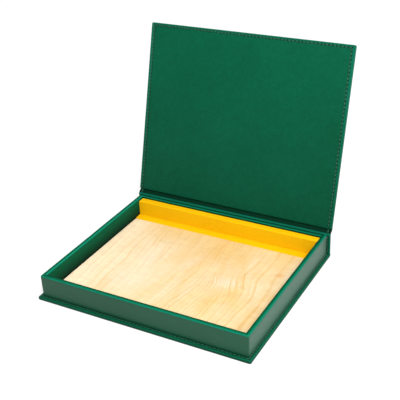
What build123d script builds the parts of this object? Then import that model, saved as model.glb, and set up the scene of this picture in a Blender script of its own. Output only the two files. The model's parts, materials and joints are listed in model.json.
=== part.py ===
from build123d import *

import math
import os

# A book-style presentation box for a deck of cards. Millimetres.
# X runs across the box, +Y from the opening edge to the spine, +Z up.
# The origin is the middle of the base panel's underside.

# Cover: base, spine and lid panels of leatherette over board
cover_width = 216.0
base_depth = 178.6
skin = 0.6                   # leatherette, each layer
cover_board = 2.0            # greyboard in the base and the lid
spine_board = 1.0            # thinner board in the spine
turned_edge_radius = 0.45    # where the outer skin turns over a board's edge
cover_corner_radius = 1.0
board_joint_gap = 0.8        # between the base board and the spine board, where the cover folds

# Tray on the base panel
side_overhang = 3.3
front_overhang = 3.6
tray_height = 21.8           # above the base panel
wall_board = 3.2
rim_radius = 1.3
floor_lining = 0.5

# Hinge and lid
lid_open_angle = 106.3       # from closed
hinge_rise = 0.2             # axis above the rim
lid_face_offset = 0.1        # lid's inner face behind the hinge axis
hinge_gap = 4.7              # free leatherette between the axis and the lid board

# Plywood panel on the tray floor
face_ply = 0.7
core_ply = 1.6
panel_wall_gap = 0.5
panel_foot_gap = 0.2

# Yellow ledge along the back wall
ledge_skin = 0.4
rail_thickness = 7.8
rail_below_rim = 2.2
foot_width = 8.7
ledge_end_gap = 0.35
ledge_edge_radius = 0.8

# Perimeter seam
stitch_pitch = 3.75
stitch_length = 2.7
thread_width = 0.6
thread_height = 0.3
seam_width = 0.9
seam_depth = 0.35
base_seam_inset = 2.65
lid_side_seam_inset = 3.4
lid_end_seam_inset = 2.4

# Worked out from the sizes above
panel_thickness = skin + cover_board + skin
spine_thickness = skin + spine_board + skin
wall_thickness = skin + wall_board + skin
cover_x = cover_width / 2
front_y = -base_depth / 2
back_y = base_depth / 2
spine_inner_y = back_y - spine_thickness
tray_x = cover_x - side_overhang
tray_front_y = front_y + front_overhang
tray_back_y = spine_inner_y
rim_z = panel_thickness + tray_height
room_x = tray_x - wall_thickness
room_front_y = tray_front_y + wall_thickness
room_back_y = tray_back_y - wall_thickness
floor_z = panel_thickness + floor_lining
panel_top_z = floor_z + face_ply + core_ply + face_ply
rail_front_y = room_back_y - rail_thickness
foot_front_y = rail_front_y - foot_width
rail_top_z = rim_z - rail_below_rim
ledge_x = room_x - ledge_end_gap
hinge_y = back_y - skin
hinge_z = rim_z + hinge_rise
lid_end = hinge_y - front_y  # the closed lid is flush with the base panel's front edge


def block(low, high):
    """A box between two opposite corners."""
    sizes = [b - a for a, b in zip(low, high)]
    return Pos(*low) * Box(*sizes, align=(Align.MIN, Align.MIN, Align.MIN))


def lid_plane():
    """The lid's inner face: local X across, Y from the hinge to the free edge, Z out of the face."""
    lean = math.radians(180 - lid_open_angle)
    inward = Vector(0, -math.sin(lean), math.cos(lean))
    foot = Vector(0, hinge_y, hinge_z) - inward * lid_face_offset
    return Plane(origin=foot, x_dir=(1, 0, 0), z_dir=inward)


def on_lid(solid):
    """Places a solid modelled on the lid's inner face."""
    return lid_plane().location * solid


# ---------------------------------------------------------------- seams

def stitch_row(start, end, face):
    """Stitches along a straight seam from start to end, standing on the seam's floor towards face."""
    run = Vector(*end) - Vector(*start)
    count = max(1, int(run.length / stitch_pitch))
    step = run / count
    plane = Plane(origin=start, x_dir=run, z_dir=face)
    one = extrude(SlotOverall(stitch_length, thread_width), thread_height)
    rows = []
    for index in range(count):
        middle = Vector(*start) + step * (index + 0.5)
        place = Plane(origin=middle, x_dir=plane.x_dir, z_dir=plane.z_dir)
        rows.append(place.location * one)
    return rows


def seam_groove(start, end, face):
    """The channel that the thread pulls into the leatherette, cut from its surface."""
    run = Vector(*end) - Vector(*start)
    middle = (Vector(*start) + Vector(*end)) / 2
    place = Plane(origin=middle, x_dir=run, z_dir=face)
    channel = Box(run.length + seam_width, seam_width, 2 * seam_depth,
                  align=(Align.CENTER, Align.CENTER, Align.CENTER))
    return Pos(*(Vector(*face) * seam_depth)) * (place.location * channel)


def three_sided(side_x, near, far, z):
    """A seam's three runs on a panel: up one side, across the far end and down the other side."""
    corners = [(-side_x, near, z), (-side_x, far, z), (side_x, far, z), (side_x, near, z)]
    return list(zip(corners[:-1], corners[1:]))


def base_seam(z):
    """The base panel's seam, from the spine round the front edge and back."""
    inset = base_seam_inset
    return three_sided(cover_x - inset, spine_inner_y - seam_width, front_y + inset, z)


def spine_seam(y):
    """The spine's two short seams, one at each side."""
    side_x = cover_x - base_seam_inset
    low_z = panel_thickness + seam_width
    high_z = rim_z - seam_width
    return [((side, y, low_z), (side, y, high_z)) for side in (-side_x, side_x)]


def lid_seam(z):
    """The lid's seam on its own face, from the hinge round the free edge and back."""
    near = hinge_gap + seam_width
    return three_sided(cover_x - lid_side_seam_inset, near, lid_end - lid_end_seam_inset, z)


def thread(runs, face):
    """Every stitch of a seam, as a group of separate solids."""
    return Compound([stitch for start, end in runs for stitch in stitch_row(start, end, face)])


def grooved(solid, runs, face):
    """A skin with the seam's channel pulled into it."""
    for start, end in runs:
        solid -= seam_groove(start, end, face)
    return solid


up = (0, 0, 1)
down = (0, 0, -1)
forward = (0, -1, 0)
backward = (0, 1, 0)


# ---------------------------------------------------------------- cover

def base_outer_skin():
    """Outer leatherette under the base board, turned up over its edges."""
    pan = block((-cover_x, front_y, 0), (cover_x, back_y, panel_thickness))
    pan = fillet(pan.edges().filter_by(Axis.Z).group_by(Axis.Y)[0], cover_corner_radius)
    lying = pan.edges().group_by(Axis.Z)
    pan = fillet(lying[0], turned_edge_radius)
    top_back_edge = pan.edges().filter_by(Axis.X).sort_by(Axis.Z)[-2:].sort_by(Axis.Y)[-1]
    top_rim = pan.edges().group_by(Axis.Z)[-1].filter_by(lambda edge: edge != top_back_edge)
    pan = fillet(top_rim, turned_edge_radius)
    pan -= block((-cover_x + skin, front_y + skin, skin), (cover_x - skin, back_y - skin, panel_thickness))
    return grooved(pan, base_seam(seam_depth), down)


def base_inner_skin():
    """Inner leatherette on the base board, inside the turned edge, running back under the spine."""
    sheet = block((-cover_x + skin, front_y + skin, panel_thickness - skin),
                  (cover_x - skin, spine_inner_y + skin, panel_thickness))
    return grooved(sheet, base_seam(panel_thickness - seam_depth), up)


def base_board():
    """Greyboard of the base panel."""
    return block((-cover_x + skin, front_y + skin, skin),
                 (cover_x - skin, spine_inner_y + skin - board_joint_gap, panel_thickness - skin))


def spine_outer_skin():
    """Outer leatherette behind the spine board, turned round its side edges."""
    pan = block((-cover_x, spine_inner_y, panel_thickness), (cover_x, back_y, rim_z))
    pan = fillet(pan.edges().filter_by(Axis.Z), turned_edge_radius)
    pan -= block((-cover_x + skin, spine_inner_y, panel_thickness), (cover_x - skin, back_y - skin, rim_z))
    return grooved(pan, spine_seam(back_y - seam_depth), backward)


def spine_inner_skin():
    """Inner leatherette between the tray and the spine board, folded over the board's top edge."""
    side_x = cover_x - skin
    sheet = block((-side_x, spine_inner_y, panel_thickness), (side_x, spine_inner_y + skin, rim_z))
    sheet += block((-side_x, spine_inner_y, rim_z - skin), (side_x, back_y - skin, rim_z))
    return grooved(sheet, spine_seam(spine_inner_y + seam_depth), forward)


def spine_board_piece():
    """Greyboard of the spine panel."""
    return block((-cover_x + skin, spine_inner_y + skin, panel_thickness),
                 (cover_x - skin, back_y - skin, rim_z - skin))


def lid_outer_skin():
    """Outer leatherette behind the lid board, turned over its sides and free edge."""
    pan = block((-cover_x, hinge_gap, -panel_thickness), (cover_x, lid_end, 0))
    pan = fillet(pan.edges().filter_by(Axis.Z).group_by(Axis.Y)[-1], cover_corner_radius)
    turned = pan.edges().filter_by(lambda edge: edge.center().Y > hinge_gap + skin)
    turned = turned.filter_by(lambda edge: abs(edge.center().Z + panel_thickness / 2) > skin)
    pan = fillet(turned, turned_edge_radius)
    pan -= block((-cover_x + skin, hinge_gap, -panel_thickness + skin), (cover_x - skin, lid_end - skin, 0))
    return on_lid(grooved(pan, lid_seam(seam_depth - panel_thickness), down))


def lid_inner_skin():
    """Inner leatherette on the lid board, folded over the board's edge at the hinge."""
    side_x = cover_x - skin
    sheet = block((-side_x, hinge_gap, -skin), (side_x, lid_end - skin, 0))
    sheet += block((-side_x, hinge_gap, skin - panel_thickness), (side_x, hinge_gap + skin, 0))
    return on_lid(grooved(sheet, lid_seam(-seam_depth), up))


def lid_board():
    """Greyboard of the lid panel."""
    return on_lid(block((-cover_x + skin, hinge_gap + skin, skin - panel_thickness),
                        (cover_x - skin, lid_end - skin, -skin)))


def meeting_line():
    """Where the two leatherettes meet across the joint: two tangent arcs from the spine to the lid."""
    plane = lid_plane()
    lid_edge = plane.from_local_coords(Vector(0, hinge_gap, skin - panel_thickness))
    start = Vector(back_y - skin, rim_z)
    end = Vector(lid_edge.Y, lid_edge.Z)
    rising = Vector(0, 1)
    leaning = Vector(plane.y_dir.Y, plane.y_dir.Z)
    chord = end - start
    along = chord.dot(rising + leaning)
    spread = 2 * (1 - rising.dot(leaning))
    reach = (math.sqrt(along ** 2 + spread * chord.dot(chord)) - along) / spread
    middle = (start + rising * reach + end - leaning * reach) / 2
    lower = TangentArc(start, middle, tangent=rising)
    upper = TangentArc(end, middle, tangent=-leaning)
    return lower + upper


def hinge_strip(side_x, side):
    """A leatherette crossing the joint with no board, on one side of the line where the two layers meet."""
    profile = make_face(offset(meeting_line(), skin, side=side, closed=True))
    return extrude(Plane.YZ * profile, side_x, both=True)


# ---------------------------------------------------------------- tray

def wall_wraps():
    """Leatherette over the four walls: both faces and the rounded rim, mitred at the corners."""
    ring = block((-tray_x, tray_front_y, panel_thickness), (tray_x, tray_back_y, rim_z))
    ring = fillet(ring.edges().filter_by(Axis.Z), rim_radius)
    ring -= block((-room_x, room_front_y, panel_thickness), (room_x, room_back_y, rim_z))
    ring = fillet(ring.edges().group_by(Axis.Z)[-1], rim_radius)
    ring -= block((skin - tray_x, tray_front_y + skin, panel_thickness),
                  (tray_x - skin, tray_back_y - skin, rim_z - skin)) - block(
                  (-room_x - skin, room_front_y - skin, panel_thickness),
                  (room_x + skin, room_back_y + skin, rim_z - skin))
    outer = [(-tray_x, tray_front_y), (tray_x, tray_front_y), (tray_x, tray_back_y), (-tray_x, tray_back_y)]
    inner = [(-room_x, room_front_y), (room_x, room_front_y), (room_x, room_back_y), (-room_x, room_back_y)]
    wraps = {}
    for side, name in enumerate(("front", "right", "back", "left")):
        after = (side + 1) % 4
        mitred = make_face(Polyline(outer[side], outer[after], inner[after], inner[side], close=True))
        wraps[name + "_wall_wrap"] = ring & extrude(Pos(0, 0, panel_thickness) * mitred, tray_height)
    return wraps


def wall_boards():
    """Greyboard walls: the front and back run the full width, the sides stand between them."""
    outer_x = tray_x - skin
    inner_x = room_x + skin
    outer_front = tray_front_y + skin
    inner_front = room_front_y - skin
    inner_back = room_back_y + skin
    outer_back = tray_back_y - skin
    low = panel_thickness
    high = rim_z - skin
    return {
        "front_wall_board": block((-outer_x, outer_front, low), (outer_x, inner_front, high)),
        "back_wall_board": block((-outer_x, inner_back, low), (outer_x, outer_back, high)),
        "left_wall_board": block((-outer_x, inner_front, low), (-inner_x, inner_back, high)),
        "right_wall_board": block((inner_x, inner_front, low), (outer_x, inner_back, high)),
    }


def tray_floor_lining():
    """Leatherette on the base panel inside the walls."""
    return block((-room_x, room_front_y, panel_thickness), (room_x, room_back_y, floor_z))


def ply_sheet(low_z, thickness):
    """One veneer of the plywood panel."""
    side_x = room_x - panel_wall_gap
    return block((-side_x, room_front_y + panel_wall_gap, low_z),
                 (side_x, foot_front_y - panel_foot_gap, low_z + thickness))


def ledge_rail_core():
    """Wooden core of the upright rail."""
    return block((-ledge_x, rail_front_y + ledge_skin, floor_z),
                 (ledge_x, room_back_y - ledge_skin, rail_top_z - ledge_skin))


def ledge_foot_core():
    """Wooden core of the low strip in front of the rail, level with the plywood."""
    return block((-ledge_x, foot_front_y + ledge_skin, floor_z),
                 (ledge_x, rail_front_y + ledge_skin, panel_top_z - ledge_skin))


def ledge_wrap():
    """Yellow covering over the rail and the foot strip."""
    rail = block((-ledge_x, rail_front_y, floor_z), (ledge_x, room_back_y, rail_top_z))
    rail = fillet(rail.edges().filter_by(Axis.X).group_by(Axis.Z)[-1], ledge_edge_radius)
    foot = block((-ledge_x, foot_front_y, floor_z), (ledge_x, rail_front_y, panel_top_z))
    foot = fillet(foot.edges().filter_by(Axis.X).group_by(Axis.Z)[-1].sort_by(Axis.Y)[0], ledge_skin)
    return rail + foot - ledge_rail_core() - ledge_foot_core()


# ---------------------------------------------------------------- the whole box

pieces = {
    "base_outer_skin": base_outer_skin(),
    "base_inner_skin": base_inner_skin(),
    "base_board": base_board(),
    "base_upper_stitching": thread(base_seam(panel_thickness - seam_depth), up),
    "base_lower_stitching": thread(base_seam(seam_depth), down),
    "spine_outer_skin": spine_outer_skin(),
    "spine_inner_skin": spine_inner_skin(),
    "spine_board": spine_board_piece(),
    "spine_outer_stitching": thread(spine_seam(back_y - seam_depth), backward),
    "spine_inner_stitching": thread(spine_seam(spine_inner_y + seam_depth), forward),
    "hinge_outer_strip": hinge_strip(cover_x, Side.RIGHT),
    "hinge_inner_strip": hinge_strip(cover_x - skin, Side.LEFT),
    "lid_outer_skin": lid_outer_skin(),
    "lid_inner_skin": lid_inner_skin(),
    "lid_board": lid_board(),
    "lid_inner_stitching": on_lid(thread(lid_seam(-seam_depth), up)),
    "lid_outer_stitching": on_lid(thread(lid_seam(seam_depth - panel_thickness), down)),
    "tray_floor_lining": tray_floor_lining(),
    "plywood_back_ply": ply_sheet(floor_z, face_ply),
    "plywood_core_ply": ply_sheet(floor_z + face_ply, core_ply),
    "plywood_face_ply": ply_sheet(floor_z + face_ply + core_ply, face_ply),
    "ledge_rail_core": ledge_rail_core(),
    "ledge_foot_core": ledge_foot_core(),
    "ledge_wrap": ledge_wrap(),
}
pieces.update(wall_wraps())
pieces.update(wall_boards())

os.makedirs("parts", exist_ok=True)
for name, piece in pieces.items():
    export_step(piece, f"parts/{name}.step")
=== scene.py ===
import json
import math

import bmesh
import bpy
import numpy as np
from mathutils import Euler, Matrix, Vector, noise


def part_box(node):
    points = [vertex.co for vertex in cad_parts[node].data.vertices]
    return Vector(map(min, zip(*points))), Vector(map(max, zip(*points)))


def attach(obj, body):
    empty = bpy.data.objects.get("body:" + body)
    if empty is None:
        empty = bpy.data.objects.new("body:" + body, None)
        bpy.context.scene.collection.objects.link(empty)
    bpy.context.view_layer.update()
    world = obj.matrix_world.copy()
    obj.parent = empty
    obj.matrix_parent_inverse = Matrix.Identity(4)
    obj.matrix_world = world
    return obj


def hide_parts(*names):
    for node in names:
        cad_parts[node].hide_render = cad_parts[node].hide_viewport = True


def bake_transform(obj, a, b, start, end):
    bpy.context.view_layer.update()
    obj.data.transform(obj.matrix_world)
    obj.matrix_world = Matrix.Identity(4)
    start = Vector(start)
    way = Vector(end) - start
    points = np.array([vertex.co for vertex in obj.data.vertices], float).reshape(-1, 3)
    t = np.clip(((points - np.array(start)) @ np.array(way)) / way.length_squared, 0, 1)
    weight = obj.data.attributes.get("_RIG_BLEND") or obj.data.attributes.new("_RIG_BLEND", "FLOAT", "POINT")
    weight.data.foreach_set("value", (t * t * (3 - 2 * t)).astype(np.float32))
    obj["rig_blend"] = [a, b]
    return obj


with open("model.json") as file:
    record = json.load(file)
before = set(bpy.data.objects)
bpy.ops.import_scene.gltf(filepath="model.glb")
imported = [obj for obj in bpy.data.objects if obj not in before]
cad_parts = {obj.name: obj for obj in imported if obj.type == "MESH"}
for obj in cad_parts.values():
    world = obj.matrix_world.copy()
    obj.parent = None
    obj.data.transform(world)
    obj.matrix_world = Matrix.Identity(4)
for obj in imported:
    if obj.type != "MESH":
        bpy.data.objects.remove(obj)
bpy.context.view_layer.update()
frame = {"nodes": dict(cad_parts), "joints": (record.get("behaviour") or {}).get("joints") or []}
MM = 0.001
MERGE = 0.002 * MM            # mesh points nearer than this are one

# Leatherette and its edges
EDGE_ROUND = 0.75 * MM        # where the outer leatherette turns over a board
SHARP = 0.02 * MM             # an edge that meets another piece square
COVER_CORNER = 1.6 * MM       # the panels' corners, seen from above
SHEET_STEP = 0.10 * MM        # how far the inner sheet's turned edge stands proud
SHEET_INSET = 1.05 * MM       # the inner sheet's edge, in from the panel's edge
RIM_ROUND = 1.35 * MM
WALL_CORNER = 1.35 * MM
INNER_CORNER = 0.45 * MM
TUCK = 0.3 * MM               # how far the tray's wrap runs down into the base
WEB = 1.25 * MM               # two leatherettes together, with no board
HINGE_ENDS = 0.25 * MM        # how far the web reaches into the spine and the lid
PLAIN_INSET = 1.6 * MM        # where a panel's face starts, along an edge with no seam
SLOW_WAVER = (50 * MM, 0.05 * MM)       # length and height of a face's slow unevenness
FINE_WAVER = (12 * MM, 0.012 * MM)
UNEVEN = SLOW_WAVER[1] + FINE_WAVER[1]  # the most that a panel's face wavers in or out

# Perimeter seam
PITCH = 3.75 * MM
STITCH = 2.6 * MM
THREAD = 0.31 * MM            # thread radius
SEAM_DIP = 0.26 * MM          # how far the seam pulls the leatherette down
HOLE_DIP = 0.65 * MM          # depth of a needle hole
BASE_SEAM = 2.65 * MM
LID_SIDE_SEAM = 3.4 * MM
LID_END_SEAM = 2.4 * MM
DIVISIONS = 4                 # mesh edges for each stitch along a seam
PRESSED = 0.42 * MM           # how far the base's weight presses its lower thread in

# Tones: above 0 a painted highlight where light catches the leatherette, below 0 painted shade where it lies
# in a fold or in shadow
PAINTED_DEEP_SHADE = -0.95
LID_SHADE = -0.27
LID_SHADE_REACH = 130 * MM
WEB_BACK_TONE = -0.15


# ---------------------------------------------------------------- places from the frame

hinge = frame["joints"][0]
axis_y, axis_z = hinge["pos_m"][1], hinge["pos_m"][2]
lean = math.radians(180 - hinge["range_deg"][1])
lid_up = Vector((0, math.cos(lean), math.sin(lean)))
lid_in = Vector((0, -math.sin(lean), math.cos(lean)))
lid_axes = Matrix((Vector((1, 0, 0)), lid_up, lid_in)).transposed().to_4x4()
lid_axes.translation = Vector((0, axis_y, axis_z))


def lid_box(node):
    """A lid node's lowest and highest corners, measured along the lid from the hinge axis."""
    back = lid_axes.inverted()
    points = np.array([back @ v.co for v in frame["nodes"][node].data.vertices])
    return Vector(points.min(0)), Vector(points.max(0))


lid_low, lid_high = lid_box("lid_outer_skin")
base_low, base_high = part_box("base_outer_skin")
spine_low, spine_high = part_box("spine_outer_skin")
wall_low, wall_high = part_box("front_wall_wrap")
tray_low = Vector((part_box("left_wall_wrap")[0].x, wall_low.y, 0))
tray_high = Vector((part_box("right_wall_wrap")[1].x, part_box("back_wall_wrap")[1].y, 0))
ledge_low, ledge_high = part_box("ledge_wrap")
rail_low, rail_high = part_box("ledge_rail_core")
ply_low, ply_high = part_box("plywood_face_ply")
rim_z = wall_high.z
wall = wall_high.y - wall_low.y


# ---------------------------------------------------------------- mesh helpers

def finished(name, bm, body, material, nodes=(), smooth_angle=40):
    """Turns a bmesh into a piece that rides on a body and stands for some CAD nodes."""
    bmesh.ops.remove_doubles(bm, verts=bm.verts, dist=MERGE)
    bmesh.ops.recalc_face_normals(bm, faces=bm.faces)
    mesh = bpy.data.meshes.new(name)
    bm.to_mesh(mesh)
    bm.free()
    mesh.polygons.foreach_set("use_smooth", [True] * len(mesh.polygons))
    mesh.set_sharp_from_angle(angle=math.radians(smooth_angle))
    mesh.materials.append(material)
    piece = bpy.data.objects.new(name, mesh)
    bpy.context.scene.collection.objects.link(piece)
    if body:
        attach(piece, body)
    if nodes:
        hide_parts(*nodes)
    return piece


def waver(point, size, height, seed):
    """A slow unevenness, as hand-covered board has."""
    return height * noise.noise(Vector(point) / size + Vector((seed, seed, seed)))


def new_mesh():
    """A bmesh whose vertices carry a tone for the leatherette's material."""
    bm = bmesh.new()
    bm.verts.layers.float.new("tone")
    return bm


def vertices(bm, points, place=Matrix(), tones=None):
    """A bmesh vertex at each point, moved by a matrix."""
    made = [bm.verts.new(place @ Vector(point)) for point in points]
    if tones is not None:
        layer = bm.verts.layers.float["tone"]
        for vertex, tone in zip(made, tones):
            vertex[layer] = tone
    return made


def bridge(bm, first, second):
    """Quads between two closed rings with as many points each."""
    for i in range(len(first)):
        j = (i + 1) % len(first)
        bm.faces.new((first[i], first[j], second[j], second[i]))


CORNER_EDGES = 6
TURNS = [math.radians(90 * i / CORNER_EDGES) for i in range(CORNER_EDGES)]


def outline_ring(low, high, counts, insets, heights, radii):
    """Points round a rectangle with rounded corners: near side, right, far, left, each then its corner.

    counts are the edges along x and y. insets and heights have one value for each side, and radii one
    for the corner after each side."""
    near, right, far, left = insets
    x0, x1, y0, y1 = low[0] + left, high[0] - right, low[1] + near, high[1] - far
    corners = [(x0, y0), (x1, y0), (x1, y1), (x0, y1)]
    along = [(1, 0), (0, 1), (-1, 0), (0, -1)]
    points = []
    for side in range(4):
        after = (side + 1) % 4
        before = (side + 3) % 4
        dx, dy = along[side]
        start = Vector(corners[side]) + Vector((dx, dy)) * radii[before]
        end = Vector(corners[after]) - Vector((dx, dy)) * radii[side]
        count = counts[side % 2]
        for i in range(count):
            place = start.lerp(end, i / count)
            points.append((place.x, place.y, heights[side]))
        inward = Vector((-dy, dx)) * radii[side]
        for turn in TURNS:
            place = end + inward - inward * math.cos(turn) + Vector((dx, dy)) * radii[side] * math.sin(turn)
            height = heights[side] + (heights[after] - heights[side]) * math.degrees(turn) / 90
            points.append((place.x, place.y, height))
    return points


def ring_starts(counts):
    """Where each side's points start in an outline ring."""
    starts = [0]
    for side in range(4):
        starts.append(starts[-1] + counts[side % 2] + CORNER_EDGES)
    return starts


def fill_middle(bm, ring, counts, low, high, insets, height, place, uneven, shade):
    """Fills a ring of square corners with a coarser grid, one cell for each DIVISIONS edges of the ring."""
    near, right, far, left = insets
    columns, rows = counts[0] // DIVISIONS, counts[1] // DIVISIONS
    grid = []
    for row in range(rows + 1):
        y = low[1] + near + (high[1] - far - low[1] - near) * row / rows
        points = []
        for column in range(columns + 1):
            x = low[0] + left + (high[0] - right - low[0] - left) * column / columns
            points.append((x, y, height + uneven((x, y, height))))
        grid.append(vertices(bm, points, place, [shade(y)] * len(points)))
    for row in range(rows):
        for column in range(columns):
            bm.faces.new((grid[row][column], grid[row][column + 1],
                          grid[row + 1][column + 1], grid[row + 1][column]))
    border = [grid[0], [line[-1] for line in grid], grid[-1][::-1], [line[0] for line in grid[::-1]]]
    starts = ring_starts(counts)
    for side in range(4):
        for cell in range(counts[side % 2] // DIVISIONS):
            first = starts[side] + cell * DIVISIONS
            outer = [ring[(first + k) % len(ring)] for k in range(DIVISIONS + 1)]
            bm.faces.new(outer + [border[side][cell + 1], border[side][cell]])


# ---------------------------------------------------------------- cover panels

def panel_section(thickness, seam, dip=SEAM_DIP, step=SHEET_STEP, inner=EDGE_ROUND, outer=EDGE_ROUND,
                  reach=6.5, face_tone=0.0, edge_tone=0.45, under_tone=0.3, side_tone=0.0):
    """A panel's edge in section, from its inner face round the edge to its outer face.

    Points are (inset from the edge, height below the inner face, share of a needle hole, tone).
    The tones are painted light: painted shade below 0 in the seam's valley and under the inner sheet's step,
    painted highlights above 0 on the rounded edges; face_tone, side_tone and under_tone add painted shade
    or highlight to the face, the side and the edge round to the outer face."""
    ease = min(1, (seam - SHEET_INSET) / (1.3 * MM))
    valley = [(reach, 0, 0, 0), (3.0, 0, 0, 0), (1.5, 0.08, 0, 0), (0.9, 0.42, 0.2, -0.1),
              (0.45, 0.85, 0.8, -0.15), (0, 1, 1, -0.2), (-0.4 * ease, 0.85, 0.8, -0.15),
              (-0.75 * ease, 0.42, 0.2, 0.1), (-1.05 * ease, 0.08, 0, 0.6 * edge_tone)]
    valley = [(seam + across * MM, depth * dip, hole, tone + face_tone)
              for across, depth, hole, tone in valley]
    lip = [(SHEET_INSET + 0.12 * MM, 0, 0, 0.6 * edge_tone), (SHEET_INSET, 0.3 * step, 0, -0.1),
           (SHEET_INSET - 0.06 * MM, step, 0, -0.2)]
    quarter = [(math.radians(90 * i / 5), min(i, 5 - i) / 2, side_tone * i / 5) for i in range(6)]
    turn_in = [(inner * (1 - math.sin(t)), step + inner * (1 - math.cos(t)), 0,
                edge_tone * pale + side) for t, pale, side in quarter]
    turn_out = [(outer * (1 - math.sin(t)), thickness - outer * (1 - math.cos(t)), 0,
                 under_tone * pale + side) for t, pale, side in quarter[::-1]]
    back = [(inset, thickness - depth, hole, tone - face_tone) for inset, depth, hole, tone in valley[::-1]]
    return valley + lip + turn_in + turn_out + back


def unshaded(y):
    """No change of tone along a panel."""
    return 0.0


def panel(name, low, high, place, sections, square, counts, body, nodes, seamed, seed, shade=unshaded):
    """A board panel in leatherette: rounded edges, a sewn valley with needle holes, uneven faces."""
    bm = new_mesh()
    starts = ring_starts(counts)
    seamed = set(seamed)
    top = high[2]

    def uneven(point):
        return waver(point, *SLOW_WAVER, seed) + waver(point, *FINE_WAVER, seed + 3)

    rings = []
    for level in range(len(sections[0])):
        insets = [section[level][0] for section in sections]
        heights = [top - section[level][1] for section in sections]
        radii = []
        for corner in range(4):
            smaller = min(insets[corner], insets[(corner + 1) % 4])
            radii.append(0.0 if corner in square else max(COVER_CORNER - smaller, 0.0))
        points = outline_ring(low, high, counts, insets, heights, radii)
        hole = sections[1][level][2]
        inward = 1 if level < len(sections[0]) / 2 else -1
        moved, tones = [], []
        for i, (x, y, z) in enumerate(points):
            side = max(k for k in range(4) if starts[k] <= i)
            step = min(i - starts[side], counts[side % 2])
            corner = step in (0, counts[side % 2])
            beside = {(side + 1) % 4, (side + 3) % 4}
            sewn = side in seamed or (corner and not seamed.isdisjoint(beside))
            tone = sections[side][level][3] if sewn or not hole else 0
            # Needle holes dip and also take painted shade.
            if hole and sewn and step % DIVISIONS == 0:
                z -= inward * hole * HOLE_DIP
                tone = min(tone, -hole)
            # The shade function adds painted shade along the inner face, as on the lid.
            if inward > 0:
                tone += shade(y)
            moved.append((x, y, z + uneven((x, y, z)) - inward * UNEVEN))
            tones.append(tone)
        rings.append(vertices(bm, moved, place, tones))
    for first, second in zip(rings[:-1], rings[1:]):
        bridge(bm, first, second)
    for ring, height, tone in ((rings[0], top - UNEVEN, shade), (rings[-1], low[2] + UNEVEN, unshaded)):
        insets = [section[0][0] + 3 * MM for section in sections]
        fill_middle(bm, ring, counts, low, high, insets, height, place, uneven, tone)
    return finished(name, bm, body, leather, nodes)


def seam_counts(low, high, insets):
    """Mesh edges along a panel's sides so that whole stitches fit between the seam's corners."""
    near, right, far, left = insets
    across = high[0] - low[0] - left - right
    along = high[1] - low[1] - near - far
    return [DIVISIONS * round(length / PITCH) for length in (across, along)]


def seam_runs(low, high, insets, counts, seamed):
    """Each sewn side's run as (start, end, stitches), in the panel's own plane."""
    near, right, far, left = insets
    x0, x1, y0, y1 = low[0] + left, high[0] - right, low[1] + near, high[1] - far
    corners = [(x0, y0), (x1, y0), (x1, y1), (x0, y1)]
    return [(corners[side], corners[(side + 1) % 4], counts[side % 2] // DIVISIONS) for side in seamed]


def stitch(bm, start, end, normal, rng):
    """One stitch: a two-ply thread that rises out of one needle hole and dips into the next."""
    sides, steps = 8, 9
    along = end - start
    across = along.normalized().cross(normal)
    lift = THREAD * rng.uniform(0.75, 1.0)
    skew = across * rng.uniform(-0.06, 0.06) * MM
    rings = []
    for step in range(steps + 1):
        share = step / steps
        arch = math.sin(math.pi * share)
        height = lift * min(1, 1.9 * arch) - 1.5 * THREAD * (1 - arch) ** 3
        middle = start + along * share + normal * height
        middle += skew * (share - 0.5) * 2
        slope = math.cos(math.pi * share)
        tilt = (normal - along.normalized() * slope * 0.55).normalized()
        ring = []
        for k in range(sides):
            angle = 2 * math.pi * k / sides
            ply = 1 + 0.13 * math.cos(2 * (angle - 5.2 * share))
            radius = THREAD * ply * (0.72 + 0.28 * min(1, 3 * arch))
            ring.append(bm.verts.new(middle + across * radius * math.cos(angle) * 1.08
                                     + tilt * radius * math.sin(angle) * 0.86))
        rings.append(ring)
    for first, second in zip(rings[:-1], rings[1:]):
        bridge(bm, first, second)
    bm.faces.new(rings[0])
    bm.faces.new(rings[-1])


def stitching(name, runs, place, height, inward, body, nodes, seed):
    """A sewn seam on one face of a panel. inward is 1 on the inner face and -1 on the outer one."""
    rng = np.random.default_rng(seed)
    bm = new_mesh()
    normal = (place.to_3x3() @ Vector((0, 0, inward))).normalized()
    level = height - inward * (SEAM_DIP - 0.3 * THREAD)
    for start, end, count in runs:
        first = place @ Vector((*start, level))
        last = place @ Vector((*end, level))
        pitch = (last - first) / count
        trim = pitch * (1 - STITCH / PITCH) / 2
        for i in range(count):
            stitch(bm, first + pitch * i + trim, first + pitch * (i + 1) - trim, normal, rng)
    return finished(name, bm, body, thread, nodes, smooth_angle=80)


def upright_axes(origin):
    """A panel's own axes where it stands upright: across, up, and towards the opening edge."""
    axes = Matrix((Vector((1, 0, 0)), Vector((0, 0, 1)), Vector((0, -1, 0)))).transposed().to_4x4()
    axes.translation = origin
    return axes


def sewn_panel(label, low, high, place, seam, sections, square, seamed, body, skins, threads, seed,
               shade=unshaded, pressed=0.0):
    """A cover panel with its thread on both faces."""
    counts = seam_counts(low, high, seam)
    panel(label + "_leatherette", low, high, place, sections, square, counts, body, skins, seamed, seed,
          shade)
    runs = seam_runs(low, high, seam, counts, seamed)
    inner, outer = [thread_name.replace("_thread", "_stitching") for thread_name in threads]
    stitching(threads[0], runs, place, high[2], 1, body, [inner], seed + 1)
    stitching(threads[1], runs, place, low[2] + pressed, -1, body, [outer], seed + 2)


def lid_shade(y):
    """Painted shade: the lid's leatherette is a little darker towards the hinge."""
    return LID_SHADE * max(0.0, 1 - y / LID_SHADE_REACH)


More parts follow.
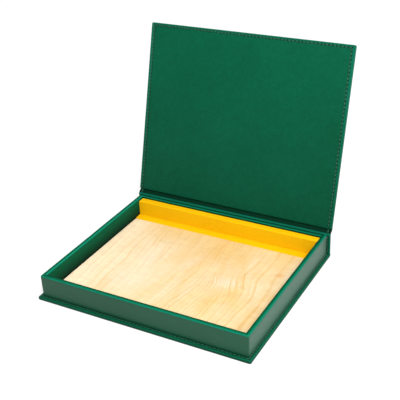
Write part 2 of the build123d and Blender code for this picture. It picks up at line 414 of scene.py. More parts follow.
def cover():
    """The base, spine and lid panels."""
    thick = base_high.z - base_low.z
    plain = {"dip": 0, "step": 0}
    # Painted light on the base's sewn edges: a darker seam strip, side and edge round to the underside as
    # painted shade, and a weaker painted highlight on the upper edge.
    front = panel_section(thick, BASE_SEAM, face_tone=-0.35, edge_tone=0.25, under_tone=-0.9,
                          side_tone=-0.5)
    back = panel_section(thick, BASE_SEAM, **plain, inner=SHARP, outer=1.2 * MM)
    sewn_panel("base", base_low, base_high, Matrix(), (BASE_SEAM,) * 4, [front, front, back, front], (1, 2),
               (0, 1, 3), "box", ["base_outer_skin", "base_inner_skin", "base_board"],
               ("base_upper_thread", "base_lower_thread"), 11, pressed=PRESSED)

    place = upright_axes(Vector((0, spine_low.y, 0)))
    low = Vector((spine_low.x, base_high.z, -(spine_high.y - spine_low.y)))
    high = Vector((spine_high.x, spine_high.z, 0))
    thick = high.z - low.z
    # Painted shade on the spine's inner face along its sewn sides.
    side = panel_section(thick, BASE_SEAM, face_tone=-0.5)
    foot = panel_section(thick, PLAIN_INSET, **plain, inner=SHARP, outer=SHARP, reach=3.2)
    top = panel_section(thick, PLAIN_INSET, **plain, inner=0.7 * MM, outer=SHARP, reach=3.2)
    seam = (PLAIN_INSET, BASE_SEAM, PLAIN_INSET, BASE_SEAM)
    sewn_panel("spine", low, high, place, seam, [foot, side, top, side],
               (0, 1, 2, 3), (1, 3), "box", ["spine_outer_skin", "spine_inner_skin", "spine_board"],
               ("spine_inner_thread", "spine_outer_thread"), 23)

    thick = lid_high.z - lid_low.z
    side = panel_section(thick, LID_SIDE_SEAM)
    free = panel_section(thick, LID_END_SEAM)
    near = panel_section(thick, PLAIN_INSET, **plain, inner=0.8 * MM, outer=SHARP)
    seam = (PLAIN_INSET, LID_SIDE_SEAM, LID_END_SEAM, LID_SIDE_SEAM)
    sewn_panel("lid", lid_low, lid_high, lid_axes, seam, [near, side, free, side], (0, 3), (1, 2, 3),
               "lid", ["lid_outer_skin", "lid_inner_skin", "lid_board"],
               ("lid_inner_thread", "lid_outer_thread"), 37, shade=lid_shade)


# ---------------------------------------------------------------- hinge

def web_line(share):
    """The web's middle line in section and its direction, from the spine's top to the lid's lower end."""
    down = Vector((0, axis_y, spine_high.z))
    up = lid_axes @ Vector((0, lid_low.y, lid_low.z + WEB / 2))
    pull = 1.6 * MM
    handles = [down, down + Vector((0, 0, pull)), up - lid_up * pull, up]
    weights = [(1 - share) ** 3, 3 * share * (1 - share) ** 2, 3 * share ** 2 * (1 - share), share ** 3]
    slopes = [(1 - share) ** 2, 2 * share * (1 - share), share ** 2]
    place = sum((h * w for h, w in zip(handles, weights)), Vector())
    along = sum(((b - a) * w for a, b, w in zip(handles, handles[1:], slopes)), Vector())
    return place, along.normalized()


def web_ring(bm, place, along, shade, columns=72, turns=5):
    """One section of the web across the box, with its side edges turned over."""
    out = Vector((-1, 0, 0)).cross(along)
    half, radius = WEB / 2, WEB * 0.46
    x0, x1 = lid_low.x, lid_high.x
    points = []
    for face in (-1, 1):
        for i in range(columns + 1):
            share = i / columns if face < 0 else 1 - i / columns
            x = x0 + radius + (x1 - x0 - 2 * radius) * share
            soft = waver((x, place.y * 3, place.z * 3), 0.03, 0.05 * MM, 51) if face < 0 else 0
            points.append(Vector((x, 0, 0)) + place + out * (half * face + soft))
        side = x1 if face < 0 else x0
        for turn in range(1, turns):
            angle = math.pi * turn / turns
            x = side + face * (radius - radius * math.sin(angle))
            points.append(Vector((x, 0, 0)) + place + out * face * half * math.cos(angle))
    # The inner face takes the painted light and shade from hinge_web; the outer face a slight painted shade.
    tones = [shade] * (columns + turns) + [WEB_BACK_TONE] * (columns + turns)
    return vertices(bm, points, tones=tones)


def follow_hinge(piece):
    """The piece stays on the spine at its foot and turns with the lid at its head."""
    start = Vector((0, axis_y, axis_z))
    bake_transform(piece, "box", "lid", start, start + lid_up * lid_low.y)


def hinge_web():
    """The two leatherettes bonded together between the spine and the lid, with a stitch at each side."""
    bm = new_mesh()
    steps = 14
    rings = []
    for step in range(steps + 1):
        place, along = web_line(step / steps)
        if step == 0:
            place = place - along * HINGE_ENDS
        if step == steps:
            place = place + along * HINGE_ENDS
        # Painted light across the web: a painted highlight at the spine's top edge, painted shade in the
        # groove, and a darker painted shadow line at the lid's foot.
        shade = 0.5 if step < 2 else -0.8 if step < steps - 2 else -1.0
        rings.append(web_ring(bm, place, along, shade))
    for first, second in zip(rings[:-1], rings[1:]):
        bridge(bm, first, second)
    bm.faces.new(rings[0])
    bm.faces.new(rings[-1])
    strips = ["hinge_outer_strip", "hinge_inner_strip"]
    web = finished("hinge_web", bm, None, hinge_shaded_leather, strips)
    follow_hinge(web)

    rng = np.random.default_rng(71)
    bm = new_mesh()
    for x in (lid_low.x + LID_SIDE_SEAM, lid_high.x - LID_SIDE_SEAM):
        for face in (-1, 1):
            ends = []
            for share in (0.16, 0.84):
                place, along = web_line(share)
                out = Vector((-1, 0, 0)).cross(along)
                ends.append(Vector((x, 0, 0)) + place + out * face * (WEB / 2 - 0.05 * MM))
            stitch(bm, ends[0], ends[1], out * face, rng)
    seam = finished("hinge_thread", bm, None, thread, (), smooth_angle=80)
    follow_hinge(seam)


# ---------------------------------------------------------------- tray

def tray_painted_light(side, inset, z, tone):
    """Painted light on one wall of the wrap: painted shade inside the front and right rims and just above
    the ledge, stronger painted light and shade on the left wall, and a darker back rim with stronger
    highlights at its roundings.
    """
    if inset > 0.4 * wall and side in (0, 1):
        return -0.65 * min(1, 2.5 * (inset / wall - 0.4))
    # Painted shadow line on the back wall's inner face, just above the ledge.
    if side == 2 and inset > wall * 0.98 and z < rim_z - 0.8 * RIM_ROUND:
        return PAINTED_DEEP_SHADE
    if side == 3:
        return tone * 1.5
    if side == 2 and z > rim_z - 0.4 * RIM_ROUND:
        return 1.8 * tone - 0.65
    return tone


def tray():
    """The leatherette that wraps the four walls, over the rim and down to the floor."""
    low, high = tray_low, tray_high
    foot, floor = wall_low.z - TUCK, wall_low.z + 0.2 * MM
    bend = [math.radians(90 * i / 6) for i in range(7)]
    heights = [0, 0.3, 0.6, 1.1, 2.2, 5, 8, 11, 14, 17]
    # Painted light on the wrap: painted shade at the foot of the outer walls, painted highlights on the
    # rim's roundings, and painted shade growing down the inner walls.
    outside = [(0, foot + height * MM, -0.8 * max(0, 1 - height / 1.6)) for height in heights]
    over = [(RIM_ROUND * (1 - math.cos(t)), rim_z - RIM_ROUND * (1 - math.sin(t)),
             0.55 * math.sin(2 * t) ** 2) for t in bend]
    down = [(wall - RIM_ROUND * (1 - math.sin(t)), rim_z - RIM_ROUND * (1 - math.cos(t)),
             0.6 * math.sin(2 * t) ** 2) for t in bend]
    drop = floor - rim_z + RIM_ROUND
    inside = [(wall, rim_z - RIM_ROUND + drop * i / 16, -0.05 * i) for i in range(1, 17)]
    counts = (96, 80)
    starts = ring_starts(counts)
    bm = new_mesh()
    rings = []
    for inset, height, tone in outside + over + down + inside:
        share = inset / wall
        radius = WALL_CORNER + (INNER_CORNER - WALL_CORNER) * share
        points = outline_ring(low, high, counts, (inset,) * 4, (height,) * 4, (radius,) * 4)
        moved, tones = [], []
        for i, (x, y, z) in enumerate(points):
            side = max(k for k in range(4) if starts[k] <= i)
            tones.append(tray_painted_light(side, inset, z, tone))
            x += waver((x, y, z), 0.045, 0.08 * MM, 5) + waver((x, y, z), 0.011, 0.02 * MM, 6)
            y += waver((x, y, z), 0.045, 0.08 * MM, 7) + waver((x, y, z), 0.011, 0.02 * MM, 8)
            z += waver((x, y, 0), 0.05, 0.07 * MM, 9) * (z > rim_z - 4 * MM)
            moved.append((x, y, z))
        rings.append(vertices(bm, moved, tones=tones))
    for first, second in zip(rings[:-1], rings[1:]):
        bridge(bm, first, second)
    bridge(bm, rings[-1], rings[0])
    nodes = [side + "_wall_wrap" for side in ("front", "back", "left", "right")]
    piece = finished("tray_leatherette", bm, "box", outside_shaded_leather, nodes)
    piece.data.materials.append(inner_leather)
    # Painted light: faces that look inward or up take the paler copy with little shine, the others the
    # darker outside copy.
    middle = Vector(((low.x + high.x) / 2, (low.y + high.y) / 2))
    for face in piece.data.polygons:
        inward = face.normal.dot(Vector((*middle, 0)) - face.center) > 0
        face.material_index = int(inward and abs(face.normal.z) < 0.3 or face.normal.z > 0.3)


# ---------------------------------------------------------------- ledge and plywood

def rounded_loop(corners):
    """Points round a section whose corners are (y, z, radius), each rounded with an arc."""
    points = []
    for i, (y, z, radius) in enumerate(corners):
        here = Vector((y, z))
        before = (Vector(corners[i - 1][:2]) - here).normalized()
        after = (Vector(corners[(i + 1) % len(corners)][:2]) - here).normalized()
        middle = here + (before + after) * radius
        for turn in range(6):
            angle = math.radians(90 * turn / 5)
            points.append(middle - after * radius * math.cos(angle) - before * radius * math.sin(angle))
    return points


def swept_section(name, corners, x0, x1, end_round, unevenness, seed, material, nodes, columns=96):
    """A section drawn out across the box, its ends eased."""
    bm = new_mesh()
    loop = rounded_loop(corners)
    centre = sum(loop, Vector((0, 0))) / len(loop)
    ease = [(0, 1), (0.08, 0.62), (0.3, 0.3), (0.62, 0.08), (1, 0)]
    ends = [(x0 + end_round * a, end_round * b) for a, b in ease]
    middle = x1 - x0 - 2 * end_round
    stations = ends + [(x0 + end_round + middle * i / columns, 0) for i in range(1, columns)]
    stations += [(x0 + x1 - x, shrink) for x, shrink in ends[::-1]]
    rings = []
    for x, shrink in stations:
        ring = []
        for point in loop:
            away = (point - centre).normalized()
            soft = waver((x, point.x, point.y), 0.03, unevenness, seed)
            y, z = point - away * shrink + away * soft
            ring.append((x, y, z))
        rings.append(vertices(bm, ring))
    for first, second in zip(rings[:-1], rings[1:]):
        bridge(bm, first, second)
    bm.faces.new(rings[0])
    bm.faces.new(rings[-1])
    return finished(name, bm, "box", material, nodes)


def ledge():
    """The yellow ledge across the back of the compartment: an upright rail with a flat foot."""
    front, back = ledge_low.y, ledge_high.y
    rail = rail_low.y - (ledge_high.z - rail_high.z)
    low, step, top = ledge_low.z, ply_high.z, ledge_high.z
    corners = [(front, low, 0.15 * MM), (front, step, 0.7 * MM), (rail, step, 0.45 * MM),
               (rail, top, 0.75 * MM), (back, top, 0.75 * MM), (back, low, 0.15 * MM)]
    swept_section("ledge_leatherette", corners, ledge_low.x, ledge_high.x, 0.5 * MM, 0.06 * MM, 61,
                  yellow_leather, ["ledge_wrap"])


def plywood_face():
    """The plywood's top ply, sanded over at its edges."""
    low, high = ply_low, ply_high
    counts = (60, 44)
    ease = [(0.02, 0.0), (0.0, 0.35), (0.06, 0.75), (0.2, 0.95), (0.4, 1.0), (3.0, 1.0)]
    bm = new_mesh()
    rings = []
    for inset, share in ease:
        inset = inset * MM
        height = low.z + (high.z - low.z) * share
        radius = max(0.5 * MM - inset, 0)
        points = outline_ring(low, high, counts, (inset,) * 4, (height,) * 4, (radius,) * 4)
        rings.append(vertices(bm, points))
    for first, second in zip(rings[:-1], rings[1:]):
        bridge(bm, first, second)
    bm.faces.new(rings[0])
    bm.faces.new(rings[-1])
    finished("plywood_face", bm, "box", birch_face, ["plywood_face_ply"])


# ---------------------------------------------------------------- materials

def material_tree(name):
    """A new material with an output and a Principled shader."""
    material = bpy.data.materials.new(name)
    material.use_nodes = True
    tree = material.node_tree
    tree.nodes.clear()
    output = tree.nodes.new("ShaderNodeOutputMaterial")
    shader = tree.nodes.new("ShaderNodeBsdfPrincipled")
    tree.links.new(shader.outputs["BSDF"], output.inputs["Surface"])
    return material, tree, shader


def add(tree, kind, inputs=None, **settings):
    """A node with its settings, and its inputs linked to sockets or set to values."""
    made = tree.nodes.new("ShaderNode" + kind)
    for key, value in settings.items():
        setattr(made, key, value)
    for key, value in (inputs or {}).items():
        if isinstance(value, bpy.types.NodeSocket):
            tree.links.new(value, made.inputs[key])
        else:
            made.inputs[key].default_value = value
    return made


def place_of(tree, scale=(1, 1, 1), turn=(0, 0, 0)):
    """The point on the piece, in its own metres, stretched and turned."""
    where = add(tree, "TexCoord")
    mapping = add(tree, "Mapping", {"Vector": where.outputs["Object"], "Scale": scale, "Rotation": turn})
    return mapping.outputs["Vector"]


def noise_of(tree, vector, scale, detail=3.0, roughness=0.55, distortion=0.0):
    """Noise from 0 to 1."""
    return add(tree, "TexNoise", {"Vector": vector, "Scale": scale, "Detail": detail,
                                  "Roughness": roughness, "Distortion": distortion}).outputs["Fac"]


def ramp(tree, factor, stops, interpolation="LINEAR"):
    """A colour ramp whose stops are (position, colour or grey)."""
    made = add(tree, "ValToRGB", {"Fac": factor})
    made.color_ramp.interpolation = interpolation
    elements = made.color_ramp.elements
    while len(elements) < len(stops):
        elements.new(1.0)
    for element, (position, colour) in zip(elements, stops):
        element.position = position
        element.color = (*colour, 1) if isinstance(colour, tuple) else (colour, colour, colour, 1)
    return made.outputs["Color"]


def blend_colours(tree, factor, first, second, mode="MIX"):
    """One colour over another, each a socket or an RGB value."""
    made = tree.nodes.new("ShaderNodeMix")
    made.data_type = "RGBA"
    made.blend_type = mode
    for socket, value in ((made.inputs[0], factor), (made.inputs[6], first), (made.inputs[7], second)):
        if isinstance(value, bpy.types.NodeSocket):
            tree.links.new(value, socket)
        else:
            socket.default_value = (*value, 1) if isinstance(value, tuple) else value
    return made.outputs[2]


def sums(tree, operation, first, second, third=None, clamp=False):
    """A math node on sockets or numbers."""
    made = add(tree, "Math", operation=operation, use_clamp=clamp)
    for socket, value in zip(made.inputs, (first, second, third)):
        if isinstance(value, bpy.types.NodeSocket):
            tree.links.new(value, socket)
        elif value is not None:
            socket.default_value = value
    return made.outputs[0]


def bump(tree, shader, layers):
    """Bumps one after another, each (height socket, strength, distance), onto the shader's normal."""
    normal = None
    for height, strength, distance in layers:
        inputs = {"Height": height, "Strength": strength, "Distance": distance}
        if normal is not None:
            inputs["Normal"] = normal
        normal = add(tree, "Bump", inputs).outputs["Normal"]
    tree.links.new(normal, shader.inputs["Normal"])


# The colours that the tone attribute mixes in: painted shade for negative tones, painted highlight for
# positive ones.
PAINTED_SHADE_COLOUR = (0.0015, 0.006, 0.003)
PAINTED_HIGHLIGHT_COLOUR = (0.008, 0.245, 0.170)


def leatherette(name, deep, plain, light, rough_low, rough_high, grain=0.75, specular=0.5,
                mottle=(0.86, 1.12), sheen=0.0, pore_tone=0.35):
    """Bonded leatherette: pebbled grain, slow changes of tone, dark pores, painted shade in creases and
    painted highlights on edges.
    """
    material, tree, shader = material_tree(name)
    where = place_of(tree)
    shake = noise_of(tree, where, 900, 2.0)
    nudged = add(tree, "VectorMath", {0: where, 1: (0, 0, 0)}, operation="ADD")
    offset = add(tree, "VectorMath", {0: (0.0005, 0.0005, 0.0005)}, operation="SCALE")
    tree.links.new(shake, offset.inputs["Scale"])
    tree.links.new(offset.outputs[0], nudged.inputs[1])
    pebbles = add(tree, "TexVoronoi", {"Vector": nudged.outputs[0], "Scale": 1 / (grain * MM)},
                  feature="DISTANCE_TO_EDGE")
    pores = ramp(tree, pebbles.outputs["Distance"], [(0.0, 0.0), (0.16, 0.75), (0.45, 1.0)], "EASE")
    fine = noise_of(tree, where, 4200, 3.0)
    slow = noise_of(tree, where, 14, 3.0, 0.5)
    cloth = noise_of(tree, where, 210, 6.0, 0.75)
    tone = ramp(tree, slow, [(0.2, deep), (0.5, plain), (0.8, light)])
    specks = ramp(tree, cloth, [(0.3, mottle[0]), (0.7, mottle[1])])
    tone = blend_colours(tree, 1.0, tone, specks, "MULTIPLY")
    shaded = blend_colours(tree, pore_tone, tone, pores, "MULTIPLY")
    # The tone attribute paints light: above 0 it mixes in the painted highlight colour, below 0 the painted
    # shade colour.
    edge = add(tree, "Attribute", attribute_name="tone").outputs["Fac"]
    shaded = blend_colours(tree, sums(tree, "MULTIPLY", edge, 0.8, clamp=True), shaded, PAINTED_HIGHLIGHT_COLOUR)
    painted_shade_share = sums(tree, "MULTIPLY", edge, -0.93, clamp=True)
    shaded = blend_colours(tree, painted_shade_share, shaded, PAINTED_SHADE_COLOUR)
    tree.links.new(shaded, shader.inputs["Base Color"])
    gloss = add(tree, "MapRange", {"Value": cloth, "From Min": 0.25, "From Max": 0.75, "To Min": rough_low,
                                   "To Max": rough_high})
    tree.links.new(gloss.outputs["Result"], shader.inputs["Roughness"])
    shader.inputs["Specular IOR Level"].default_value = specular
    shader.inputs["Sheen Weight"].default_value = sheen
    shader.inputs["Sheen Roughness"].default_value = 0.25
    shader.inputs["Sheen Tint"].default_value = (0.78, 1.0, 0.90, 1)
    ripple = noise_of(tree, where, 90, 2.0)
    bump(tree, shader, [(ripple, 0.35, 0.12 * MM), (pores, 0.55, 0.045 * MM), (fine, 0.4, 0.02 * MM)])
    return material


def sewing_thread(name, dark, light):
    """Twisted polyester thread: fine slanting plies with a soft shine."""
    material, tree, shader = material_tree(name)
    where = place_of(tree, (1, 1, 1), (0.5, 0.6, 0.7))
    plies = add(tree, "TexWave", {"Vector": where, "Scale": 900, "Distortion": 2.5, "Detail": 2.0,
                                  "Detail Scale": 2.0}, wave_type="BANDS")
    fuzz = noise_of(tree, where, 6000, 3.0)
    tone = blend_colours(tree, plies.outputs["Fac"], dark, light)
    tone = blend_colours(tree, 0.4, tone, ramp(tree, fuzz, [(0.3, 0.6), (0.7, 1.3)]), "MULTIPLY")
    tree.links.new(tone, shader.inputs["Base Color"])
    tree.links.new(ramp(tree, fuzz, [(0.2, 0.45), (0.8, 0.7)]), shader.inputs["Roughness"])
    bump(tree, shader, [(plies.outputs["Fac"], 0.5, 0.03 * MM), (fuzz, 0.3, 0.02 * MM)])
    return material


RING_SPACING = 9.5 * MM
CLOSE_RINGS = (-0.008, 0.056, 11.0)      # between these, more rings to the right of the middle
SAPWOOD = Vector((-0.058, 0.002, 0))     # the palest part of the face
SPOT = Vector((0.081, 0.029, 0))         # a small tawny spot near the right side
SWIRL = Vector((0.052, -0.004, 0))       # the swollen grain on the right
HEARTWOOD = Vector((0.012, 0.030, 0))    # the warmer wood behind it
PALE_BIRCH = (0.735, 0.590, 0.400)
PLAIN_BIRCH = (0.715, 0.525, 0.290)
WARM_BIRCH = (0.700, 0.465, 0.195)
RING_COLOUR = (0.59, 0.335, 0.090)
FLECK_COLOUR = (0.44, 0.25, 0.10)


def grain_coordinate(tree, where):
    """How far across the growth rings a point of the birch face is, in rings."""
    apart = add(tree, "SeparateXYZ", {"Vector": where})
    x, y = apart.outputs["X"], apart.outputs["Y"]
    stretched = place_of(tree, (1.0, 0.36, 1.0))
    wander = sums(tree, "SUBTRACT", noise_of(tree, stretched, 17, 2.0, 0.45), 0.5)
    wander = sums(tree, "MULTIPLY", wander, 0.036)
    ripple = sums(tree, "SUBTRACT", noise_of(tree, place_of(tree, (1.0, 0.55, 1.0)), 75, 2.0), 0.5)
    wander = sums(tree, "MULTIPLY_ADD", ripple, 0.0060, wander)
    past = sums(tree, "SUBTRACT", x, SWIRL.x)
    near = sums(tree, "MULTIPLY", sums(tree, "MULTIPLY", past, past), -1 / (2 * 0.030 ** 2))
    near = sums(tree, "POWER", math.e, near)
    below = add(tree, "MapRange", {"Value": y, "From Min": 0.030, "From Max": -0.030, "To Min": 0.0,
                                   "To Max": -0.015}, interpolation_type="SMOOTHERSTEP").outputs["Result"]
    pushed = sums(tree, "MULTIPLY", near, below)
    across = sums(tree, "ADD", sums(tree, "ADD", x, wander), pushed)
    line = add(tree, "CombineXYZ", {"X": across, "Y": 0.0, "Z": 0.0}).outputs["Vector"]
    crowd = sums(tree, "MULTIPLY", sums(tree, "SUBTRACT", noise_of(tree, line, 45, 2.0), 0.5), 3.0)
    close = add(tree, "MapRange", {"Value": across, "From Min": CLOSE_RINGS[0], "From Max": CLOSE_RINGS[1],
                                   "To Min": 0.0, "To Max": CLOSE_RINGS[2]},
                interpolation_type="SMOOTHSTEP").outputs["Result"]
    rings = sums(tree, "ADD", sums(tree, "DIVIDE", across, RING_SPACING), close)
    return sums(tree, "ADD", rings, crowd)


def soft_patch(tree, where, middle, size):
    """1 in the middle of a round patch and 0 outside it."""
    away = add(tree, "VectorMath", {0: where, 1: tuple(middle)}, operation="SUBTRACT").outputs["Vector"]
    flat = add(tree, "VectorMath", {0: away, 1: (1 / size[0], 1 / size[1], 0)}, operation="MULTIPLY")
    length = add(tree, "VectorMath", {0: flat.outputs["Vector"]}, operation="LENGTH").outputs["Value"]
    return add(tree, "MapRange", {"Value": length, "From Min": 0.0, "From Max": 1.0, "To Min": 1.0,
                                  "To Max": 0.0}, interpolation_type="SMOOTHSTEP").outputs["Result"]


def birch_veneer(name):
    """Rotary-cut birch: thin wandering growth lines, pale and warm drifts, pores and short flecks."""
    material, tree, shader = material_tree(name)
    where = place_of(tree)
    rings = grain_coordinate(tree, where)
    saw = sums(tree, "FRACT", rings, 0.0)
    lines = ramp(tree, saw, [(0.0, 0.0), (0.50, 0.06), (0.80, 0.35), (0.92, 1.0), (1.0, 0.0)])
    between = sums(tree, "FRACT", sums(tree, "MULTIPLY", rings, 3.0), 0.0)
    between = ramp(tree, between, [(0.0, 0.0), (0.55, 0.05), (0.88, 0.30), (1.0, 0.0)])
    number = sums(tree, "FLOOR", rings, 0.0)
    pick = add(tree, "TexWhiteNoise", {"W": number}, noise_dimensions="1D").outputs["Value"]
    fade = ramp(tree, noise_of(tree, place_of(tree, (1, 0.5, 1)), 30, 2.0), [(0.3, 0.25), (0.65, 1.0)])
    strong = sums(tree, "MULTIPLY", sums(tree, "MULTIPLY_ADD", pick, 0.7, 0.3), fade)
    right = add(tree, "MapRange", {"Value": add(tree, "SeparateXYZ", {"Vector": where}).outputs["X"],
                                   "From Min": -0.050, "From Max": 0.005, "To Min": 0.7, "To Max": 1.0})
    strong = sums(tree, "MULTIPLY", strong, right.outputs["Result"])
    lines = sums(tree, "MULTIPLY", sums(tree, "MAXIMUM", lines, between), strong, clamp=True)

    drift = noise_of(tree, place_of(tree, (1, 0.4, 1), (0, 0, 0.2)), 34, 4.0, 0.6, 0.7)
    base = ramp(tree, drift, [(0.33, PALE_BIRCH), (0.52, PLAIN_BIRCH), (0.72, WARM_BIRCH)])
    streaks = noise_of(tree, place_of(tree, (1, 0.3, 1), (0, 0, 0.15)), 60, 4.0, 0.6, 0.6)
    broken = ramp(tree, streaks, [(0.35, 0.15), (0.65, 0.85)])
    heart = sums(tree, "MULTIPLY", soft_patch(tree, where, HEARTWOOD, (0.070, 0.070)), broken)
    base = blend_colours(tree, heart, base, (0.680, 0.430, 0.160))
    sap = sums(tree, "MULTIPLY", soft_patch(tree, where, SAPWOOD, (0.070, 0.100)), broken)
    base = blend_colours(tree, sap, base, (0.775, 0.640, 0.455))
    spot = sums(tree, "MULTIPLY", soft_patch(tree, where, SPOT, (0.0075, 0.0050)), 0.7)
    base = blend_colours(tree, spot, base, (0.680, 0.340, 0.110))
    front = add(tree, "MapRange", {"Value": add(tree, "SeparateXYZ", {"Vector": where}).outputs["Y"],
                                   "From Min": -0.035, "From Max": -0.080, "To Min": 0.0, "To Max": 0.6})
    base = blend_colours(tree, front.outputs["Result"], base, (0.740, 0.590, 0.370))
    back = add(tree, "MapRange", {"Value": add(tree, "SeparateXYZ", {"Vector": where}).outputs["Y"],
                                  "From Min": 0.030, "From Max": 0.068, "To Min": 0.0, "To Max": 0.55})
    base = blend_colours(tree, back.outputs["Result"], base, (0.680, 0.465, 0.160))
    # Painted light: the face turns paler towards the left wall, where the wall's shade falls on it.
    left = add(tree, "MapRange", {"Value": add(tree, "SeparateXYZ", {"Vector": where}).outputs["X"],
                                  "From Min": -0.060, "From Max": -0.098, "To Min": 0.0, "To Max": 0.85})
    base = blend_colours(tree, left.outputs["Result"], base, (0.880, 0.715, 0.510))
    figure = soft_patch(tree, where, SWIRL - Vector((0.012, -0.002, 0)), (0.020, 0.015))
    stripes = ramp(tree, saw, [(0.0, 0.2), (0.5, 1.0), (0.9, 0.1)], "EASE")
    base = blend_colours(tree, sums(tree, "MULTIPLY", figure, stripes), base, (0.74, 0.64, 0.50))
    tinted = blend_colours(tree, lines, base, RING_COLOUR)

    fibres = noise_of(tree, place_of(tree, (1, 0.035, 1)), 2600, 4.0, 0.6)
    tinted = blend_colours(tree, 0.55, tinted, ramp(tree, fibres, [(0.25, 0.90), (0.75, 1.07)]), "MULTIPLY")
    curl = noise_of(tree, place_of(tree, (0.35, 1, 1), (0, 0, 0.5)), 220, 3.0, 0.6, 0.8)
    tinted = blend_colours(tree, 0.8, tinted, ramp(tree, curl, [(0.3, 0.92), (0.7, 1.06)]), "MULTIPLY")
    flecks = noise_of(tree, place_of(tree, (1, 0.10, 1)), 1500, 1.0)
    marks = ramp(tree, flecks, [(0.70, 0.0), (0.80, 1.0)])
    tinted = blend_colours(tree, sums(tree, "MULTIPLY", marks, 0.35), tinted, FLECK_COLOUR)
    tree.links.new(tinted, shader.inputs["Base Color"])
    tree.links.new(ramp(tree, fibres, [(0.2, 0.50), (0.8, 0.68)]), shader.inputs["Roughness"])
    shader.inputs["Specular IOR Level"].default_value = 0.25
    bump(tree, shader, [(lines, 0.35, 0.03 * MM), (fibres, 0.5, 0.03 * MM), (marks, -0.4, 0.03 * MM)])
    return material


def raw_wood(name, pale, dark, along=(0.05, 1, 1)):
    """Plain sawn wood with its grain drawn out one way."""
    material, tree, shader = material_tree(name)
    grain = noise_of(tree, place_of(tree, along), 600, 5.0, 0.65, 0.6)
    bands = noise_of(tree, place_of(tree, along), 90, 2.0)
    tone = blend_colours(tree, ramp(tree, bands, [(0.3, 0.0), (0.7, 1.0)]), pale, dark)
    tone = blend_colours(tree, 0.6, tone, ramp(tree, grain, [(0.3, 0.7), (0.7, 1.15)]), "MULTIPLY")
    tree.links.new(tone, shader.inputs["Base Color"])
    tree.links.new(ramp(tree, grain, [(0.2, 0.6), (0.8, 0.8)]), shader.inputs["Roughness"])
    bump(tree, shader, [(grain, 0.6, 0.05 * MM)])
    return material


def grey_board(name):
    """Grey binder's board: matted recycled fibres."""
    material, tree, shader = material_tree(name)
    felt = noise_of(tree, place_of(tree), 1400, 6.0, 0.7, 1.2)
    chips = add(tree, "TexVoronoi", {"Vector": place_of(tree), "Scale": 420}).outputs["Distance"]
    tone = ramp(tree, felt, [(0.3, (0.16, 0.145, 0.125)), (0.7, (0.34, 0.315, 0.28))])
    tone = blend_colours(tree, 0.25, tone, ramp(tree, chips, [(0.0, 1.2), (0.6, 0.7)]), "MULTIPLY")
    tree.links.new(tone, shader.inputs["Base Color"])
    tree.links.new(ramp(tree, felt, [(0.2, 0.75), (0.8, 0.95)]), shader.inputs["Roughness"])
    bump(tree, shader, [(felt, 0.5, 0.06 * MM)])
    return material


def studio_floor(name):
    """A matt white light table."""
    material, tree, shader = material_tree(name)
    mottle = noise_of(tree, place_of(tree), 400, 4.0)
    tree.links.new(ramp(tree, mottle, [(0.3, 0.43), (0.7, 0.45)]), shader.inputs["Base Color"])
    shader.inputs["Emission Color"].default_value = (1, 1, 1, 1)
    shader.inputs["Emission Strength"].default_value = FLOOR_GLOW
    tree.links.new(ramp(tree, mottle, [(0.3, 0.82), (0.7, 0.92)]), shader.inputs["Roughness"])
    shader.inputs["Specular IOR Level"].default_value = 0.1
    bump(tree, shader, [(mottle, 0.1, 0.02 * MM)])
    return material


# ---------------------------------------------------------------- studio

FLOOR_REACH = 8               # metres each way
FLOOR_CELLS = 12
FLOOR_GLOW = 0.52
GLOW_TOWARDS = Vector((0.46, 0.02, 0.89)).normalized()
GLOW_EDGE = (0.52, 0.96)      # cosines from its middle over which the overhead light fades
GLOW_LOW = 0.42
GLOW_HIGH = 2.0
WALL_TOP = (0.10, 0.30)       # sines of the height over which the white backdrop fades
WALL_ENDS = (-0.60, -0.25)    # how far round towards the front it reaches
CAMERA_PLACE = (0.33968, -0.55740, 0.43440)
CAMERA_TURN = (61.369, 2.695, 28.579)
CAMERA_LENS = 74.49
CAMERA_SHIFT = 0.0086
BOX_LIGHT = {"place": (0.45, -0.62, 0.78), "aim": (0.02, 0.05, 0.10), "size": 0.45, "power": 7.5}
LID_LIGHT = {"place": (0.30, -0.05, 0.50), "aim": (0.06, 0.13, 0.17), "size": 0.25, "power": 0.7}


def set_floor():
    """A plain floor under the box."""
    bm = new_mesh()
    places = [FLOOR_REACH * (2 * i / FLOOR_CELLS - 1) for i in range(FLOOR_CELLS + 1)]
    grid = [vertices(bm, [(x, y, 0) for x in places]) for y in places]
    for row in range(FLOOR_CELLS):
        for column in range(FLOOR_CELLS):
            bm.faces.new((grid[row][column], grid[row][column + 1],
                          grid[row + 1][column + 1], grid[row + 1][column]))
    floor = finished("floor", bm, None, studio_floor("white_table"))


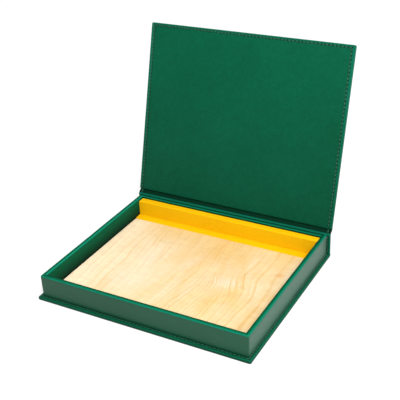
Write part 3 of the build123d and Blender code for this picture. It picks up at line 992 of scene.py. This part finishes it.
def set_world():
    """Soft overhead light, dim studio walls, and a white backdrop low behind and beside the box."""
    world = bpy.data.worlds.new("studio")
    bpy.context.scene.world = world
    world.use_nodes = True
    tree = world.node_tree
    tree.nodes.clear()
    output = tree.nodes.new("ShaderNodeOutputWorld")
    sky = tree.nodes.new("ShaderNodeBackground")
    where = add(tree, "TexCoord")
    facing = add(tree, "VectorMath", {0: where.outputs["Generated"], 1: tuple(GLOW_TOWARDS)},
                 operation="DOT_PRODUCT").outputs["Value"]
    glow = add(tree, "MapRange", {"Value": facing, "From Min": GLOW_EDGE[0], "From Max": GLOW_EDGE[1],
                                  "To Min": GLOW_LOW, "To Max": GLOW_HIGH}, interpolation_type="SMOOTHSTEP")
    apart = add(tree, "SeparateXYZ", {"Vector": where.outputs["Generated"]}).outputs
    near_floor = add(tree, "MapRange", {"Value": apart["Z"], "From Min": WALL_TOP[1],
                                        "From Max": WALL_TOP[0]}, interpolation_type="SMOOTHSTEP")
    behind = add(tree, "MapRange", {"Value": apart["Y"], "From Min": WALL_ENDS[0],
                                    "From Max": WALL_ENDS[1]}, interpolation_type="SMOOTHSTEP")
    wall_light = sums(tree, "MULTIPLY", near_floor.outputs["Result"], behind.outputs["Result"])
    strength = sums(tree, "MAXIMUM", wall_light, glow.outputs["Result"])
    tree.links.new(strength, sky.inputs["Strength"])
    sky.inputs["Color"].default_value = (1, 1, 1, 1)
    tree.links.new(sky.outputs["Background"], output.inputs["Surface"])


def area_light(name, place, aim, size, power):
    """A square white soft box."""
    light = bpy.data.lights.new(name, "AREA")
    light.shape = "SQUARE"
    light.size = size
    light.energy = power
    lamp = bpy.data.objects.new(name, light)
    bpy.context.scene.collection.objects.link(lamp)
    lamp.location = place
    lamp.rotation_euler = (Vector(aim) - Vector(place)).to_track_quat("-Z", "Y").to_euler()


def set_camera():
    """The camera, above the front right corner."""
    data = bpy.data.cameras.new("camera")
    data.sensor_width = 36.0
    data.lens = CAMERA_LENS
    data.shift_y = CAMERA_SHIFT
    camera = bpy.data.objects.new("camera", data)
    bpy.context.scene.collection.objects.link(camera)
    camera.location = CAMERA_PLACE
    camera.rotation_euler = Euler([math.radians(angle) for angle in CAMERA_TURN])
    bpy.context.scene.camera = camera


leather = leatherette("green_leatherette", (0.0006, 0.085, 0.038), (0.0008, 0.096, 0.045),
                      (0.0014, 0.107, 0.053), 0.36, 0.46, specular=0.07)
# Painted shade: a darker copy of the leatherette with almost no shine, for the hinge web.
hinge_shaded_leather = leatherette("green_leatherette_fold", (0.0012, 0.070, 0.032), (0.0014, 0.082, 0.038),
                           (0.0022, 0.092, 0.044), 0.5, 0.6, specular=0.02)
# Painted light: the tray's wrap is one leatherette in two copies, a darker one with more shine and sheen
# outside, and a paler one with little shine inside and on top, to match how light falls on its walls.
outside_shaded_leather = leatherette("green_leatherette_outside", (0.0012, 0.064, 0.027), (0.0016, 0.072, 0.032),
                             (0.0024, 0.081, 0.038), 0.32, 0.42, specular=0.28, sheen=0.42)
inner_leather = leatherette("green_leatherette_inside", (0.0008, 0.104, 0.045), (0.0010, 0.118, 0.052),
                            (0.0014, 0.132, 0.060), 0.40, 0.50, specular=0.02)
yellow_leather = leatherette("yellow_leatherette", (0.82, 0.436, 0.0012), (0.84, 0.460, 0.0014),
                             (0.86, 0.484, 0.0018), 0.42, 0.55, 0.6, specular=0.08, mottle=(0.97, 1.02),
                             pore_tone=0.14)
thread = sewing_thread("green_thread", (0.008, 0.070, 0.038), (0.024, 0.130, 0.078))
birch_face = birch_veneer("birch_face")
birch_edge = raw_wood("birch_edge", (0.72, 0.53, 0.30), (0.58, 0.38, 0.18))
birch_core = raw_wood("birch_core", (0.60, 0.41, 0.21), (0.42, 0.26, 0.12), (1, 0.05, 1))
ledge_core = raw_wood("ledge_wood", (0.66, 0.47, 0.25), (0.48, 0.31, 0.15))
board = grey_board("greyboard")

cover()
hinge_web()
tray()
ledge()
plywood_face()

HIDDEN = {"tray_floor_lining": (inner_leather, "green_leatherette"),
          "plywood_back_ply": (birch_edge, "birch_plywood"),
          "plywood_core_ply": (birch_core, "birch_plywood"),
          "ledge_rail_core": (ledge_core, "ledge_wood"),
          "ledge_foot_core": (ledge_core, "ledge_wood")}
for side in ("front", "back", "left", "right"):
    HIDDEN[side + "_wall_board"] = (board, "greyboard")
for node_name, (material, slot_name) in HIDDEN.items():
    node = frame["nodes"][node_name]
    node.data.materials.clear()
    node.data.materials.append(material)

set_floor()
set_world()
area_light("soft_box", **BOX_LIGHT)
area_light("lid_fill", **LID_LIGHT)
set_camera()
bpy.context.scene.view_settings.view_transform = "Standard"
